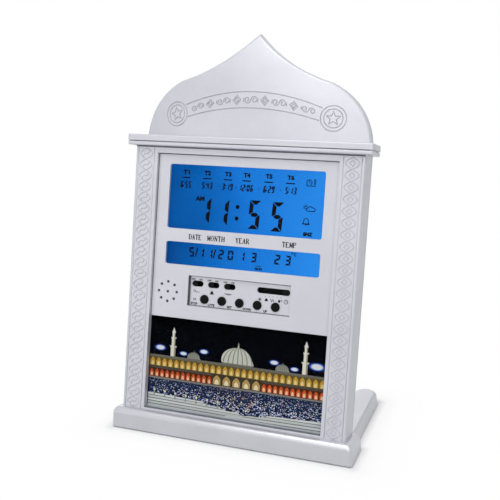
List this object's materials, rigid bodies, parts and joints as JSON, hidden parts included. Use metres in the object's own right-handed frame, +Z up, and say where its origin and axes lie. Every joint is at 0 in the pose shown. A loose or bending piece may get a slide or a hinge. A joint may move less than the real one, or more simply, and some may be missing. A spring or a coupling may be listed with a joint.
{
  "type": "azan clock",
  "caption": "Digital prayer clock in a mosque-shaped case with an onion crown, cornice and columns, push buttons, slide switches and battery door, leaning back on a footed stand.",
  "frame": {"origin": "on the floor, under the middle of the stand", "axes": "+X to the right seen from the front, +Y backwards, +Z up"},
  "size_m": [0.194, 0.1244, 0.3031],
  "materials": {
    "silver_case": "cool silver paint on moulded plastic, satin",
    "silver_back": "silver paint on moulded plastic, satin",
    "silver_stand": "silver paint on moulded plastic, satin",
    "clear_lens": "clear acrylic, polished",
    "lcd_glass": "liquid crystal glass, lit blue",
    "light_guide": "clear acrylic light guide",
    "holder_plastic": "white moulded plastic",
    "zebra_rubber": "striped contact rubber",
    "circuit_board": "green solder mask",
    "black_epoxy": "moulded black epoxy",
    "screw_steel": "zinc plated",
    "button_black": "black, satin",
    "plunger_plastic": "brown phenolic",
    "switch_plastic": "black moulded plastic",
    "knob_black": "black, satin",
    "speaker_metal": "pressed steel",
    "speaker_paper": "black paper cone",
    "speaker_magnet": "ferrite magnet",
    "picture_print": "printed gloss card",
    "cell_jacket": "printed film on a can",
    "contact_metal": "nickel plated spring steel",
    "inlet_plastic": "black moulded plastic",
    "foot_rubber": "black rubber"
  },
  "bodies": {
    "clock": {"backlight_leds": "light_guide", "battery_1": "cell_jacket", "battery_2": "cell_jacket", "battery_3": "cell_jacket", "battery_plates": "contact_metal", "battery_springs": "contact_metal", "board_screws": "screw_steel", "case_screws": "screw_steel", "chip_blobs": "black_epoxy", "control_board": "circuit_board", "date_backlight": "light_guide", "date_lcd": "lcd_glass", "dc_inlet": "inlet_plastic", "display_lens": "clear_lens", "front_case": "silver_case", "front_panel": "silver_case", "lcd_holder": "holder_plastic", "main_backlight": "light_guide", "main_board": "circuit_board", "main_lcd": "lcd_glass", "picture_card": "picture_print", "picture_window": "clear_lens", "rear_case": "silver_back", "rubber_feet": "foot_rubber", "speaker_basket": "speaker_metal", "speaker_cone": "speaker_paper", "speaker_magnet": "speaker_magnet", "stand": "silver_stand", "stand_screws": "screw_steel", "switch_body_alarm": "switch_plastic", "switch_body_mode": "switch_plastic", "switch_body_snooze": "switch_plastic", "switch_body_sound": "switch_plastic", "tact_switch_down": "switch_plastic", "tact_switch_light": "switch_plastic", "tact_switch_set": "switch_plastic", "tact_switch_stop": "switch_plastic", "tact_switch_up": "switch_plastic", "temperature_sensor": "black_epoxy", "zebra_strips": "zebra_rubber"},
    "push_stop": {"button_stop": "button_black", "plunger_stop": "plunger_plastic"},
    "push_light": {"button_light": "button_black", "plunger_light": "plunger_plastic"},
    "push_set": {"button_set": "button_black", "plunger_set": "plunger_plastic"},
    "push_down": {"button_down": "button_black", "plunger_down": "plunger_plastic"},
    "push_up": {"button_up": "button_black", "plunger_up": "plunger_plastic"},
    "slide_sound": {"knob_sound": "knob_black"},
    "slide_alarm": {"knob_alarm": "knob_black"},
    "slide_snooze": {"knob_snooze": "knob_black"},
    "slide_mode": {"knob_mode": "knob_black"},
    "door": {"battery_door": "silver_back"}
  },
  "joints": [
    {"name": "stop_press", "type": "slide", "parent": "clock", "child": "push_stop", "axis": [0, 0.986, -0.1668], "range_m": [0, 0.0006], "stiffness_N_per_m": 600},
    {"name": "light_press", "type": "slide", "parent": "clock", "child": "push_light", "axis": [0, 0.986, -0.1668], "range_m": [0, 0.0006], "stiffness_N_per_m": 600},
    {"name": "set_press", "type": "slide", "parent": "clock", "child": "push_set", "axis": [0, 0.986, -0.1668], "range_m": [0, 0.0006], "stiffness_N_per_m": 600},
    {"name": "down_press", "type": "slide", "parent": "clock", "child": "push_down", "axis": [0, 0.986, -0.1668], "range_m": [0, 0.0006], "stiffness_N_per_m": 600},
    {"name": "up_press", "type": "slide", "parent": "clock", "child": "push_up", "axis": [0, 0.986, -0.1668], "range_m": [0, 0.0006], "stiffness_N_per_m": 600},
    {"name": "sound_slide", "type": "slide", "parent": "clock", "child": "slide_sound", "axis": [1, 0, 0], "range_m": [0, 0.004]},
    {"name": "alarm_slide", "type": "slide", "parent": "clock", "child": "slide_alarm", "axis": [1, 0, 0], "range_m": [0, 0.004]},
    {"name": "snooze_slide", "type": "slide", "parent": "clock", "child": "slide_snooze", "axis": [1, 0, 0], "range_m": [0, 0.004]},
    {"name": "mode_slide", "type": "slide", "parent": "clock", "child": "slide_mode", "axis": [1, 0, 0], "range_m": [-0.0199, 0]},
    {"name": "door_hinge", "type": "hinge", "parent": "clock", "child": "door", "pos_m": [0, -0.02979, 0.02474], "axis": [-1, 0, 0], "range_deg": [0, 80]}
  ]
}
